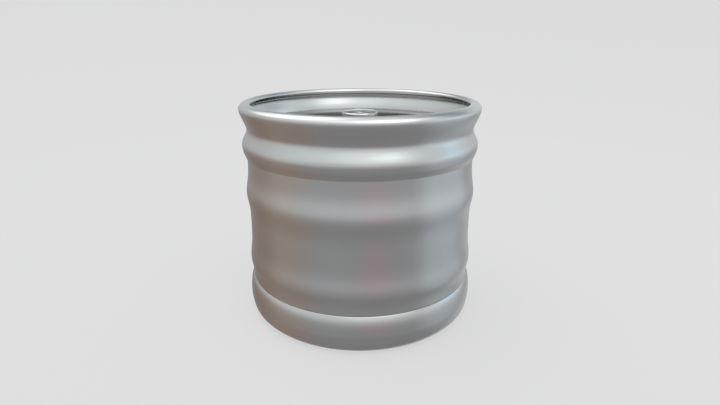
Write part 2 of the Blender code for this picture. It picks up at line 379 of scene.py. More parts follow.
def coil(name, node, wire):
    """A spring wound where its frame node is: a mesh whose end turns lie closer together."""
    low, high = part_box(node)
    radius = high.x - wire / 2
    curve = bpy.data.curves.new(name, "CURVE")
    curve.dimensions = "3D"
    curve.bevel_depth = wire / 2
    curve.bevel_resolution = 5
    curve.use_fill_caps = True
    count = SPRING_TURNS * 40 + 1
    spline = curve.splines.new("POLY")
    spline.points.add(count - 1)
    start = low.z + wire / 2
    rise = high.z - low.z - wire
    closeness = 0.6
    for index, point in enumerate(spline.points):
        share = index / (count - 1)
        angle = 2 * math.pi * SPRING_TURNS * share
        height = start + rise * (share - math.sin(2 * math.pi * share) / (2 * math.pi) * closeness)
        point.co = (radius * math.cos(angle), radius * math.sin(angle), height, 1.0)
    wound = link(bpy.data.objects.new(name, curve))
    bpy.context.view_layer.update()
    graph = bpy.context.evaluated_depsgraph_get()
    mesh = bpy.data.meshes.new_from_object(wound.evaluated_get(graph))
    bpy.data.objects.remove(wound)
    spring = link(bpy.data.objects.new(name, mesh))
    shape = bmesh.new()
    shape.from_mesh(mesh)
    bmesh.ops.remove_doubles(shape, verts=shape.verts, dist=MERGE_DISTANCE)
    bmesh.ops.recalc_face_normals(shape, faces=shape.faces)
    shape.to_mesh(mesh)
    shape.free()
    mesh.shade_smooth()
    return spring


def settle(piece, body, slot, finish, *nodes):
    """Gives a finished piece its material and body and hides the frame nodes it stands for; the
    slot is not used.
    """
    piece.data.materials.clear()
    piece.data.materials.append(finish)
    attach(piece, body)
    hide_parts(*nodes)


# ---------------------------------------------------------------- finishes
def new_finish(name):
    """A material with no nodes yet."""
    finish = bpy.data.materials.new(name)
    finish.use_nodes = True
    finish.node_tree.nodes.clear()
    return finish


def satin_steel(name, colour, roughness, brushing, wear, bloom):
    """Pressed stainless: fine brushed rings, soft patches, hairline scuffs and rubbed edges."""
    finish = new_finish(name)
    nodes = finish.node_tree.nodes
    links = finish.node_tree.links

    around = nodes.new("NodeFrame")
    around.label = "Position round the axis"
    place = nodes.new("ShaderNodeTexCoord")
    place.label = "Place on the keg"
    split = nodes.new("ShaderNodeSeparateXYZ")
    split.label = "Across and up"
    reach = nodes.new("ShaderNodeVectorMath")
    reach.label = "Distance from the axis"
    reach.operation = "LENGTH"
    flat = nodes.new("ShaderNodeCombineXYZ")
    flat.label = "Level part"
    ring = nodes.new("ShaderNodeVectorMath")
    ring.label = "Direction from the axis"
    ring.operation = "NORMALIZE"
    slow_ring = nodes.new("ShaderNodeVectorMath")
    slow_ring.label = "Slow change round the keg"
    slow_ring.operation = "SCALE"
    slow_ring.inputs["Scale"].default_value = 2.6
    tall = nodes.new("ShaderNodeMath")
    tall.label = "Quick change up the keg"
    tall.operation = "MULTIPLY"
    tall.inputs[1].default_value = 900.0
    wide = nodes.new("ShaderNodeMath")
    wide.label = "Quick change outwards"
    wide.operation = "MULTIPLY"
    wide.inputs[1].default_value = 900.0
    lift = nodes.new("ShaderNodeCombineXYZ")
    lift.label = "Height alone"
    seat = nodes.new("ShaderNodeVectorMath")
    seat.label = "Brushing position"
    seat.operation = "ADD"
    for node, spot in (
        (place, (-2000, 0)), (split, (-1820, 0)), (reach, (-1640, 140)), (flat, (-1820, 180)),
        (ring, (-1640, 320)), (slow_ring, (-1460, 320)), (tall, (-1460, 60)),
        (wide, (-1460, -120)), (lift, (-1280, 60)), (seat, (-1100, 200)),
    ):
        node.parent = around
        node.location = spot
    links.new(place.outputs["Object"], split.inputs[0])
    links.new(split.outputs["X"], flat.inputs["X"])
    links.new(split.outputs["Y"], flat.inputs["Y"])
    links.new(flat.outputs[0], reach.inputs[0])
    links.new(flat.outputs[0], ring.inputs[0])
    links.new(ring.outputs["Vector"], slow_ring.inputs[0])
    links.new(split.outputs["Z"], tall.inputs[0])
    links.new(reach.outputs["Value"], wide.inputs[0])
    links.new(tall.outputs[0], lift.inputs["Z"])
    links.new(slow_ring.outputs["Vector"], seat.inputs[0])
    links.new(lift.outputs[0], seat.inputs[1])

    brush = nodes.new("NodeFrame")
    brush.label = "Brushing"
    lines = nodes.new("ShaderNodeTexNoise")
    lines.label = "Brushed rings"
    lines.noise_dimensions = "4D"
    lines.inputs["Scale"].default_value = 1.0
    lines.inputs["Detail"].default_value = 3.0
    lines.inputs["Roughness"].default_value = 0.65
    line_depth = nodes.new("ShaderNodeBump")
    line_depth.label = "Depth of the rings"
    line_depth.inputs["Strength"].default_value = brushing
    line_depth.inputs["Distance"].default_value = 0.00004
    for node, spot in (
        (lines, (-880, 220)), (line_depth, (260, -380)),
    ):
        node.parent = brush
        node.location = spot
    links.new(seat.outputs["Vector"], lines.inputs["Vector"])
    links.new(wide.outputs[0], lines.inputs["W"])

    patches = nodes.new("NodeFrame")
    patches.label = "Soft patches and smudges"
    cloud = nodes.new("ShaderNodeTexNoise")
    cloud.label = "Handling patches"
    cloud.inputs["Scale"].default_value = 7.0
    cloud.inputs["Detail"].default_value = 4.0
    cloud.inputs["Roughness"].default_value = 0.55
    cloud_range = nodes.new("ShaderNodeMapRange")
    cloud_range.label = "Patch strength"
    cloud_range.inputs["From Min"].default_value = 0.35
    cloud_range.inputs["From Max"].default_value = 0.68
    cloud_range.inputs["To Min"].default_value = -bloom
    cloud_range.inputs["To Max"].default_value = bloom
    for node, spot in (
        (cloud, (-880, -60)), (cloud_range, (-660, -60)),
    ):
        node.parent = patches
        node.location = spot
    links.new(place.outputs["Object"], cloud.inputs["Vector"])
    links.new(cloud.outputs["Fac"], cloud_range.inputs["Value"])

    scuffs = nodes.new("NodeFrame")
    scuffs.label = "Hairline scuffs"
    drift = nodes.new("ShaderNodeMapping")
    drift.label = "Scuffs run slantwise"
    drift.inputs["Rotation"].default_value = (0.4, 0.2, 0.9)
    drift.inputs["Scale"].default_value = (9.0, 9.0, 160.0)
    hair = nodes.new("ShaderNodeTexNoise")
    hair.label = "Scuff marks"
    hair.inputs["Scale"].default_value = 1.6
    hair.inputs["Detail"].default_value = 5.0
    hair.inputs["Roughness"].default_value = 0.7
    hair.inputs["Distortion"].default_value = 0.4
    hair_range = nodes.new("ShaderNodeMapRange")
    hair_range.label = "Only the sharpest show"
    hair_range.inputs["From Min"].default_value = 0.64
    hair_range.inputs["From Max"].default_value = 0.74
    for node, spot in (
        (drift, (-1100, -620)), (hair, (-880, -620)), (hair_range, (-660, -620)),
    ):
        node.parent = scuffs
        node.location = spot
    links.new(place.outputs["Object"], drift.inputs["Vector"])
    links.new(drift.outputs["Vector"], hair.inputs["Vector"])
    links.new(hair.outputs["Fac"], hair_range.inputs["Value"])

    rubbed = nodes.new("NodeFrame")
    rubbed.label = "Wear where the form stands proud"
    proud = nodes.new("ShaderNodeNewGeometry")
    proud.label = "Proud edges"
    proud_range = nodes.new("ShaderNodeMapRange")
    proud_range.label = "Rubbed part"
    proud_range.inputs["From Min"].default_value = 0.505
    proud_range.inputs["From Max"].default_value = 0.56
    worn = nodes.new("ShaderNodeMath")
    worn.label = "Scuffed or rubbed"
    worn.operation = "MAXIMUM"
    worn_share = nodes.new("ShaderNodeMath")
    worn_share.label = "How worn"
    worn_share.operation = "MULTIPLY"
    worn_share.inputs[1].default_value = wear
    for node, spot in (
        (proud, (-1100, -900)), (proud_range, (-880, -900)), (worn, (-440, -760)),
        (worn_share, (-260, -760)),
    ):
        node.parent = rubbed
        node.location = spot
    links.new(proud.outputs["Pointiness"], proud_range.inputs["Value"])
    links.new(hair_range.outputs["Result"], worn.inputs[0])
    links.new(proud_range.outputs["Result"], worn.inputs[1])
    links.new(worn.outputs[0], worn_share.inputs[0])

    tone = nodes.new("NodeFrame")
    tone.label = "Colour and gloss"
    clouded = nodes.new("ShaderNodeMix")
    clouded.label = "Clouded steel"
    clouded.data_type = "RGBA"
    clouded.inputs["A"].default_value = (*colour, 1.0)
    clouded.inputs["B"].default_value = (*[channel * 0.90 for channel in colour], 1.0)
    scratched = nodes.new("ShaderNodeMix")
    scratched.label = "Bright where worn"
    scratched.data_type = "RGBA"
    scratched.inputs["B"].default_value = (*[min(1.0, channel * 1.18) for channel in colour], 1.0)
    gloss = nodes.new("ShaderNodeMath")
    gloss.label = "Roughness with patches"
    gloss.operation = "ADD"
    gloss.inputs[1].default_value = roughness
    spotted = nodes.new("ShaderNodeMath")
    spotted.label = "Duller where worn"
    spotted.operation = "MULTIPLY_ADD"
    spotted.inputs[1].default_value = 0.08
    shader = nodes.new("ShaderNodeBsdfPrincipled")
    shader.label = "Satin stainless"
    shader.inputs["Metallic"].default_value = 1.0
    output = nodes.new("ShaderNodeOutputMaterial")
    output.label = "Surface"
    output.location = (820, 200)
    for node, spot in (
        (clouded, (-200, 260)), (scratched, (20, 260)), (gloss, (-200, 0)), (spotted, (20, 0)),
        (shader, (520, 200)),
    ):
        node.parent = tone
        node.location = spot
    links.new(cloud.outputs["Fac"], clouded.inputs["Factor"])
    links.new(clouded.outputs["Result"], scratched.inputs["A"])
    links.new(worn_share.outputs[0], scratched.inputs["Factor"])
    links.new(cloud_range.outputs["Result"], gloss.inputs[0])
    links.new(worn_share.outputs[0], spotted.inputs[0])
    links.new(gloss.outputs[0], spotted.inputs[2])
    links.new(lines.outputs["Fac"], line_depth.inputs["Height"])
    links.new(scratched.outputs["Result"], shader.inputs["Base Color"])
    links.new(spotted.outputs[0], shader.inputs["Roughness"])
    links.new(line_depth.outputs["Normal"], shader.inputs["Normal"])
    links.new(shader.outputs["BSDF"], output.inputs["Surface"])
    return finish


def machined_steel(name, colour, roughness, pitch):
    """Turned and polished steel: cutter rings, faint smears and tiny nicks."""
    finish = new_finish(name)
    nodes = finish.node_tree.nodes
    links = finish.node_tree.links

    tooling = nodes.new("NodeFrame")
    tooling.label = "Rings left by the cutter"
    place = nodes.new("ShaderNodeTexCoord")
    place.label = "Place on the piece"
    split = nodes.new("ShaderNodeSeparateXYZ")
    split.label = "Across and up"
    flat = nodes.new("ShaderNodeCombineXYZ")
    flat.label = "Level part"
    reach = nodes.new("ShaderNodeVectorMath")
    reach.label = "Distance from the axis"
    reach.operation = "LENGTH"
    travel = nodes.new("ShaderNodeMath")
    travel.label = "Cutter travel"
    travel.operation = "ADD"
    count = nodes.new("ShaderNodeMath")
    count.label = "Rings for each metre"
    count.operation = "MULTIPLY"
    count.inputs[1].default_value = 2 * math.pi / pitch
    wave = nodes.new("ShaderNodeMath")
    wave.label = "Ring shape"
    wave.operation = "SINE"
    depth = nodes.new("ShaderNodeBump")
    depth.label = "Ring depth"
    depth.inputs["Strength"].default_value = 0.25
    depth.inputs["Distance"].default_value = 0.00003
    for node, spot in (
        (place, (-1500, 0)), (split, (-1320, 0)), (flat, (-1140, 120)), (reach, (-960, 120)),
        (travel, (-780, 60)), (count, (-600, 60)), (wave, (-420, 60)), (depth, (0, -260)),
    ):
        node.parent = tooling
        node.location = spot
    links.new(place.outputs["Object"], split.inputs[0])
    links.new(split.outputs["X"], flat.inputs["X"])
    links.new(split.outputs["Y"], flat.inputs["Y"])
    links.new(flat.outputs[0], reach.inputs[0])
    links.new(reach.outputs["Value"], travel.inputs[0])
    links.new(split.outputs["Z"], travel.inputs[1])
    links.new(travel.outputs[0], count.inputs[0])
    links.new(count.outputs[0], wave.inputs[0])
    links.new(wave.outputs[0], depth.inputs["Height"])

    smears = nodes.new("NodeFrame")
    smears.label = "Smears"
    film = nodes.new("ShaderNodeTexNoise")
    film.label = "Wiped film"
    film.inputs["Scale"].default_value = 60.0
    film.inputs["Detail"].default_value = 5.0
    film_range = nodes.new("ShaderNodeMapRange")
    film_range.label = "Roughness of the film"
    film_range.inputs["From Min"].default_value = 0.35
    film_range.inputs["From Max"].default_value = 0.7
    film_range.inputs["To Min"].default_value = roughness
    film_range.inputs["To Max"].default_value = roughness + 0.12
    tint = nodes.new("ShaderNodeMix")
    tint.label = "Filmed steel"
    tint.data_type = "RGBA"
    tint.inputs["A"].default_value = (*colour, 1.0)
    tint.inputs["B"].default_value = (*[channel * 0.82 for channel in colour], 1.0)
    for node, spot in (
        (film, (-600, -420)), (film_range, (-380, -420)), (tint, (-160, 220)),
    ):
        node.parent = smears
        node.location = spot
    links.new(place.outputs["Object"], film.inputs["Vector"])
    links.new(film.outputs["Fac"], film_range.inputs["Value"])
    links.new(film.outputs["Fac"], tint.inputs["Factor"])

    shader = nodes.new("ShaderNodeBsdfPrincipled")
    shader.label = "Machined stainless"
    shader.location = (240, 200)
    shader.inputs["Metallic"].default_value = 1.0
    shader.inputs["Anisotropic"].default_value = 0.35
    output = nodes.new("ShaderNodeOutputMaterial")
    output.label = "Surface"
    output.location = (540, 200)
    links.new(tint.outputs["Result"], shader.inputs["Base Color"])
    links.new(film_range.outputs["Result"], shader.inputs["Roughness"])
    links.new(depth.outputs["Normal"], shader.inputs["Normal"])
    links.new(shader.outputs["BSDF"], output.inputs["Surface"])
    return finish


def weld_bead(name, colour):
    """A pickled weld: overlapping ripples round the seam and a faint straw tint."""
    finish = new_finish(name)
    nodes = finish.node_tree.nodes
    links = finish.node_tree.links

    ripples = nodes.new("NodeFrame")
    ripples.label = "Ripples of the bead"
    place = nodes.new("ShaderNodeTexCoord")
    place.label = "Place on the seam"
    split = nodes.new("ShaderNodeSeparateXYZ")
    split.label = "Across"
    angle = nodes.new("ShaderNodeMath")
    angle.label = "Angle round the axis"
    angle.operation = "ARCTAN2"
    count = nodes.new("ShaderNodeMath")
    count.label = "Ripples in a turn"
    count.operation = "MULTIPLY"
    count.inputs[1].default_value = 480.0
    wave = nodes.new("ShaderNodeMath")
    wave.label = "Ripple"
    wave.operation = "SINE"
    depth = nodes.new("ShaderNodeBump")
    depth.label = "Ripple depth"
    depth.inputs["Strength"].default_value = 0.6
    depth.inputs["Distance"].default_value = 0.0002
    for node, spot in (
        (place, (-1300, 0)), (split, (-1120, 0)), (angle, (-940, 0)), (count, (-760, 0)),
        (wave, (-580, 0)), (depth, (-100, -260)),
    ):
        node.parent = ripples
        node.location = spot
    links.new(place.outputs["Object"], split.inputs[0])
    links.new(split.outputs["Y"], angle.inputs[0])
    links.new(split.outputs["X"], angle.inputs[1])
    links.new(angle.outputs[0], count.inputs[0])
    links.new(count.outputs[0], wave.inputs[0])
    links.new(wave.outputs[0], depth.inputs["Height"])

    heat = nodes.new("NodeFrame")
    heat.label = "Straw tint"
    cloud = nodes.new("ShaderNodeTexNoise")
    cloud.label = "Uneven heat"
    cloud.inputs["Scale"].default_value = 38.0
    cloud.inputs["Detail"].default_value = 3.0
    tint = nodes.new("ShaderNodeMix")
    tint.label = "Tinted bead"
    tint.data_type = "RGBA"
    tint.inputs["A"].default_value = (*colour, 1.0)
    tint.inputs["B"].default_value = (colour[0] * 0.92, colour[1] * 0.82, colour[2] * 0.66, 1.0)
    for node, spot in (
        (cloud, (-580, 260)), (tint, (-360, 260)),
    ):
        node.parent = heat
        node.location = spot
    links.new(place.outputs["Object"], cloud.inputs["Vector"])
    links.new(cloud.outputs["Fac"], tint.inputs["Factor"])

    shader = nodes.new("ShaderNodeBsdfPrincipled")
    shader.label = "Weld metal"
    shader.location = (200, 200)
    shader.inputs["Metallic"].default_value = 1.0
    shader.inputs["Roughness"].default_value = 0.42
    output = nodes.new("ShaderNodeOutputMaterial")
    output.label = "Surface"
    output.location = (500, 200)
    links.new(tint.outputs["Result"], shader.inputs["Base Color"])
    links.new(depth.outputs["Normal"], shader.inputs["Normal"])
    links.new(shader.outputs["BSDF"], output.inputs["Surface"])
    return finish


def moulded_rubber(name, colour):
    """Black seal rubber: fine mould grain and a dusty bloom."""
    finish = new_finish(name)
    nodes = finish.node_tree.nodes
    links = finish.node_tree.links

    grain = nodes.new("NodeFrame")
    grain.label = "Mould grain"
    place = nodes.new("ShaderNodeTexCoord")
    place.label = "Place on the seal"
    speck = nodes.new("ShaderNodeTexNoise")
    speck.label = "Grain"
    speck.inputs["Scale"].default_value = 900.0
    speck.inputs["Detail"].default_value = 4.0
    depth = nodes.new("ShaderNodeBump")
    depth.label = "Grain depth"
    depth.inputs["Strength"].default_value = 0.3
    depth.inputs["Distance"].default_value = 0.0001
    for node, spot in (
        (place, (-1100, 0)), (speck, (-880, -160)), (depth, (-200, -260)),
    ):
        node.parent = grain
        node.location = spot
    links.new(place.outputs["Object"], speck.inputs["Vector"])
    links.new(speck.outputs["Fac"], depth.inputs["Height"])

    bloom = nodes.new("NodeFrame")
    bloom.label = "Dusty bloom"
    cloud = nodes.new("ShaderNodeTexNoise")
    cloud.label = "Bloom patches"
    cloud.inputs["Scale"].default_value = 90.0
    cloud.inputs["Detail"].default_value = 5.0
    tint = nodes.new("ShaderNodeMix")
    tint.label = "Bloomed rubber"
    tint.data_type = "RGBA"
    tint.inputs["A"].default_value = (*colour, 1.0)
    tint.inputs["B"].default_value = (*[channel * 2.2 for channel in colour], 1.0)
    gloss = nodes.new("ShaderNodeMapRange")
    gloss.label = "Roughness of the bloom"
    gloss.inputs["To Min"].default_value = 0.42
    gloss.inputs["To Max"].default_value = 0.68
    for node, spot in (
        (cloud, (-880, 160)), (tint, (-560, 240)), (gloss, (-560, 0)),
    ):
        node.parent = bloom
        node.location = spot
    links.new(place.outputs["Object"], cloud.inputs["Vector"])
    links.new(cloud.outputs["Fac"], tint.inputs["Factor"])
    links.new(cloud.outputs["Fac"], gloss.inputs["Value"])

    shader = nodes.new("ShaderNodeBsdfPrincipled")
    shader.label = "Rubber"
    shader.location = (100, 200)
    output = nodes.new("ShaderNodeOutputMaterial")
    output.label = "Surface"
    output.location = (400, 200)
    links.new(tint.outputs["Result"], shader.inputs["Base Color"])
    links.new(gloss.outputs["Result"], shader.inputs["Roughness"])
    links.new(depth.outputs["Normal"], shader.inputs["Normal"])
    links.new(shader.outputs["BSDF"], output.inputs["Surface"])
    return finish


def backdrop_paint(name, colour, glow):
    """Pale seamless paper, lit partly from within so that it stays even."""
    finish = new_finish(name)
    nodes = finish.node_tree.nodes
    links = finish.node_tree.links

    grain = nodes.new("NodeFrame")
    grain.label = "Grain of the paper"
    place = nodes.new("ShaderNodeTexCoord")
    place.label = "Place on the paper"
    fibre = nodes.new("ShaderNodeTexNoise")
    fibre.label = "Paper fibre"
    fibre.inputs["Scale"].default_value = 400.0
    depth = nodes.new("ShaderNodeBump")
    depth.label = "Fibre depth"
    depth.inputs["Strength"].default_value = 0.02
    for node, spot in (
        (place, (-700, 0)), (fibre, (-500, 0)), (depth, (-260, -120)),
    ):
        node.parent = grain
        node.location = spot
    links.new(place.outputs["Object"], fibre.inputs["Vector"])
    links.new(fibre.outputs["Fac"], depth.inputs["Height"])

    shader = nodes.new("ShaderNodeBsdfPrincipled")
    shader.label = "Paper"
    shader.location = (0, 0)
    shader.inputs["Base Color"].default_value = (*colour, 1.0)
    shader.inputs["Roughness"].default_value = 0.9
    shader.inputs["Specular IOR Level"].default_value = 0.1
    shader.inputs["Emission Color"].default_value = (1.0, 1.0, 1.0, 1.0)
    shader.inputs["Emission Strength"].default_value = glow
    output = nodes.new("ShaderNodeOutputMaterial")
    output.label = "Surface"
    output.location = (300, 0)
    links.new(depth.outputs["Normal"], shader.inputs["Normal"])
    links.new(shader.outputs["BSDF"], output.inputs["Surface"])
    return finish


def pressed_finish():
    look = bpy.context.scene.keg_finish
    name = "satin_stainless"
    return bpy.data.materials.get(name) or satin_steel(
        name, look.steel, look.steel_roughness, brushing=0.35, wear=0.5, bloom=0.03
    )


def head_finish():
    look = bpy.context.scene.keg_finish
    name = "pickled_stainless"
    dull = [channel * 0.72 for channel in look.steel]
    return bpy.data.materials.get(name) or satin_steel(
        name, dull, look.steel_roughness + 0.14, brushing=0.2, wear=0.3, bloom=0.06
    )


def bright_finish():
    look = bpy.context.scene.keg_finish
    name = "machined_stainless"
    return bpy.data.materials.get(name) or machined_steel(name, look.bright, 0.16, 0.0005)


def wire_finish():
    name = "drawn_wire"
    return bpy.data.materials.get(name) or machined_steel(name, (0.45, 0.45, 0.46), 0.26, 0.0011)


def weld_finish():
    look = bpy.context.scene.keg_finish
    name = "weld_metal"
    return bpy.data.materials.get(name) or weld_bead(name, look.weld)


def rubber_finish():
    look = bpy.context.scene.keg_finish
    name = "seal_rubber"
    return bpy.data.materials.get(name) or moulded_rubber(name, look.rubber)


# ---------------------------------------------------------------- operators
class KEG_OT_chimes(bpy.types.Operator):
    """Rolls the top chime with its rim bead and the bottom chime with its foot."""

    bl_idname = "keg.chimes"
    bl_label = "Chimes"

    def execute(self, context):
        sheet = context.scene.keg_shape.chime_sheet
        rim = pressed("rolled_top_chime", top_chime_line(), sheet)
        settle(rim, "keg", "satin_steel", pressed_finish(), "top_chime")
        foot = pressed("rolled_bottom_chime", bottom_chime_line(), sheet)
        settle(foot, "keg", "satin_steel", pressed_finish(), "bottom_chime")
        return {"FINISHED"}


class KEG_OT_wall(bpy.types.Operator):
    """Rolls the wall with its two stiffening rings."""

    bl_idname = "keg.wall"
    bl_label = "Wall"

    def execute(self, context):
        count = 100
        drop = TUCK_START - WALL_HIGH
        heights = [WALL_HIGH + drop * step / count for step in range(count + 1)]
        heights.extend((TUCK_START - TUCK_HEIGHT, WALL_LOW))
        line = [(wall_radius(height), height) for height in heights]
        wall = pressed("ringed_wall", line, context.scene.keg_shape.wall_sheet)
        settle(wall, "keg", "satin_steel", pressed_finish(), "body_wall")
        return {"FINISHED"}


class KEG_OT_domes(bpy.types.Operator):
    """Presses the head and the base."""

    bl_idname = "keg.domes"
    bl_label = "Domes"

    def execute(self, context):
        sheet = context.scene.keg_shape.wall_sheet
        head = pressed("pressed_head", top_dome_line(), sheet)
        settle(head, "keg", "satin_steel", head_finish(), "top_dome")
        base = pressed("pressed_base", bottom_dome_line(), sheet)
        settle(base, "keg", "satin_steel", head_finish(), "bottom_dome")
        return {"FINISHED"}


class KEG_OT_welds(bpy.types.Operator):
    """Lays the weld beads between the sheets and round the neck."""

    bl_idname = "keg.welds"
    bl_label = "Welds"

    def execute(self, context):
        shape = context.scene.keg_shape
        steps = shape.big_steps
        crown, root_crown = 0.0002, 0.0004
        for node in ("top_seam_weld", "bottom_seam_weld"):
            low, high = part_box(node)
            middle = (low.z + high.z) / 2
            edge = high.x - crown
            inside = edge - shape.wall_sheet
            corners = (
                (edge, high.z), (high.x, middle), (edge, low.z),
                (inside, low.z), (inside - root_crown, middle), (inside, high.z),
            )
            seam = turned("bead_" + node, corners, 0.0005, steps)
            settle(seam, "keg", "weld_bead", weld_finish(), node)
        fillets = (("top_chime_weld", True), ("bottom_chime_weld", False), ("neck_weld", True))
        for node, upright in fillets:
            low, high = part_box(node)
            leg = high.z - low.z
            corner = high.x - leg
            root, tip = (low.z, high.z) if upright else (high.z, low.z)
            corners = [(corner, tip), (high.x, root), (corner, root)]
            if not upright:
                corners.reverse()
            fillet = turned("bead_" + node, corners, leg * 0.3, steps)
            settle(fillet, "keg", "weld_bead", weld_finish(), node)
        return {"FINISHED"}


class KEG_OT_neck(bpy.types.Operator):
    """Turns the neck, with its ledge, its groove and its rounded mouth."""

    bl_idname = "keg.neck"
    bl_label = "Neck"

    def execute(self, context):
        low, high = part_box("neck")
        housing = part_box("valve_housing")[1].x
        groove = high.z - 0.0048
        groove_low, groove_high = groove - 0.0008, groove + 0.0016
        groove_radius = housing + 0.0020
        bore = housing + 0.0003
        ledge_radius = 0.0250
        ledge = high.z - LEDGE_DEPTH
        corners = (
            (NECK_RADIUS - 0.0018, high.z), (NECK_RADIUS - 0.0006, high.z - 0.0007),
            (NECK_RADIUS, high.z - 0.0022), (NECK_RADIUS, low.z),
            (ledge_radius, low.z), (ledge_radius, ledge), (bore, ledge),
            (bore, groove_low), (groove_radius, groove_low), (groove_radius, groove_high),
            (housing + 0.0006, groove_high), (housing + 0.0016, high.z),
        )
        neck = turned("turned_neck", corners, 0.0005)
        settle(neck, "keg", "bright_steel", bright_finish(), "neck")
        return {"FINISHED"}


class KEG_OT_housing(bpy.types.Operator):
    """Makes the valve housing with its lug slots, its seal and its locking ring."""

    bl_idname = "keg.housing"
    bl_label = "Valve housing"

    def execute(self, context):
        low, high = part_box("valve_housing")
        shoulder = NECK_TOP - LEDGE_DEPTH + 0.0021
        seat = NECK_TOP - SEAT_DEPTH
        shank = 0.0247
        shank_bore = shank - 0.0021
        seat_bore, probe_well, mouth = 0.0175, 0.0235, 0.0214
        top = high.z
        corners = (
            (high.x - 0.0006, top), (high.x, top - 0.0006), (high.x, shoulder),
            (shank, shoulder), (shank, low.z), (shank_bore, low.z), (shank_bore, seat),
            (seat_bore, seat), (seat_bore, seat + 0.0022), (probe_well, seat + 0.0034),
            (probe_well, top - 0.0030), (mouth, top - 0.0020), (mouth, top - 0.0005),
            (mouth + 0.0005, top),
        )
        housing = turned("turned_housing", corners, 0.0003)
        lug_slots = ((0.0492, 0.0130, 0.0080), (0.0, 0.0, top))
        cut_boxes(housing, [lug_slots])
        settle(housing, "keg", "bright_steel", bright_finish(), "valve_housing")

        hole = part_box("housing_seal")[1].x - 0.0014
        seal = flat_ring("round_housing_seal", "housing_seal", hole, 0.0006)
        settle(seal, "keg", "black_rubber", rubber_finish(), "housing_seal")

        low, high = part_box("locking_ring")
        ring = flat_ring("sprung_locking_ring", "locking_ring", high.x - 0.0034, 0.0003)
        gap = ((0.0060, 0.0100, 0.0060), (0.0, 0.0270, low.z))
        cut_boxes(ring, [gap])
        settle(ring, "keg", "bright_steel", bright_finish(), "locking_ring")
        return {"FINISHED"}


class KEG_OT_basket(bpy.types.Operator):
    """Makes the basket that carries the main spring, with its four gas windows."""

    bl_idname = "keg.basket"
    bl_label = "Spring basket"

    def execute(self, context):
        low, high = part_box("spring_basket")
        outer = high.x
        inner = outer - 0.0012
        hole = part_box("ball_spring_seat")[1].x + 0.0023
        floor = low.z + 0.0015
        corners = (
            (outer, high.z), (outer, low.z), (hole, low.z), (hole, floor),
            (inner, floor), (inner, high.z),
        )
        basket = turned("windowed_basket", corners, 0.0005)
        middle = low.z + 0.0155
        windows = [
            ((0.06, 0.015, 0.016), (0.0, 0.0, middle)),
            ((0.015, 0.06, 0.016), (0.0, 0.0, middle)),
        ]
        cut_boxes(basket, windows)
        settle(basket, "keg", "bright_steel", bright_finish(), "spring_basket")
        return {"FINISHED"}


class KEG_OT_gas_valve(bpy.types.Operator):
    """Makes the moving gas valve: rubber seal, spring plate, down tube and ball spring seat."""

    bl_idname = "keg.gas_valve"
    bl_label = "Gas valve"

    def execute(self, context):
        low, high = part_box("gas_seal")
        under = high.z - 0.0053
        face, throat = 0.0166, 0.0072
        corners = (
            (face - 0.0008, high.z), (face, high.z - 0.0008), (face, under), (high.x, under),
            (high.x, low.z), (throat + 0.0014, low.z), (throat, under - 0.0013),
            (throat, high.z - 0.0014), (throat + 0.0018, high.z),
        )
        seal = turned("moulded_gas_seal", corners, 0.0005)
        settle(seal, "gas_valve", "black_rubber", rubber_finish(), "gas_seal")

        plate = flat_ring("round_spring_plate", "spring_plate", hole=0.0109, radius=0.0004)
        settle(plate, "gas_valve", "bright_steel", bright_finish(), "spring_plate")

        low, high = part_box("down_tube")
        head, stem, bore = 0.0106, 0.0080, 0.0070
        head_bore = head - 0.0013
        flange = high.z - 0.0013
        cone_high, cone_low = 0.2980, 0.2930
        corners = (
            (high.x, high.z), (high.x, flange), (head, flange),
            (head, cone_high), (stem, cone_low), (stem, low.z), (bore, low.z),
            (bore, cone_low + 0.0006), (head_bore, cone_high + 0.0004), (head_bore, high.z),
        )
        tube = turned("drawn_down_tube", corners, 0.0003)
        settle(tube, "gas_valve", "bright_steel", bright_finish(), "down_tube")

        seat = flat_ring("round_ball_spring_seat", "ball_spring_seat", hole=0.0056, radius=0.0002)
        settle(seat, "gas_valve", "bright_steel", bright_finish(), "ball_spring_seat")
        return {"FINISHED"}


class KEG_OT_ball(bpy.types.Operator):
    """Makes the steel ball that shuts the beer way."""

    bl_idname = "keg.ball"
    bl_label = "Valve ball"

    def execute(self, context):
        low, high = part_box("valve_ball")
        radius = (high.z - low.z) / 2
        middle = (high.z + low.z) / 2
        count = 32
        angles = [math.pi * step / count for step in range(count + 1)]
        line = [(radius * math.sin(angle), middle + radius * math.cos(angle)) for angle in angles]
        ball = outline_piece("polished_ball", line, closed=False)
        turn(ball, 2 * count)
        settle(ball, "beer_valve", "bright_steel", bright_finish(), "valve_ball")
        return {"FINISHED"}


class KEG_OT_springs(bpy.types.Operator):
    """Winds the two springs. The meshes are fixed and do not close up as the valves are pushed
    down.
    """

    bl_idname = "keg.springs"
    bl_label = "Springs"

    def execute(self, context):
        # Each spring: its name, its node, its body, the joint that closes it and its wire.
        springs = (
            ("wound_main_spring", "main_spring", "keg", "gas_valve_slide", 0.0022),
            ("wound_ball_spring", "ball_spring", "gas_valve", "beer_ball_slide", 0.0010),
        )
        for name, node, body, joint, wire in springs:
            spring = coil(name, node, wire)
            settle(spring, body, "spring_wire", wire_finish(), node)
            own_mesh(spring)
        return {"FINISHED"}


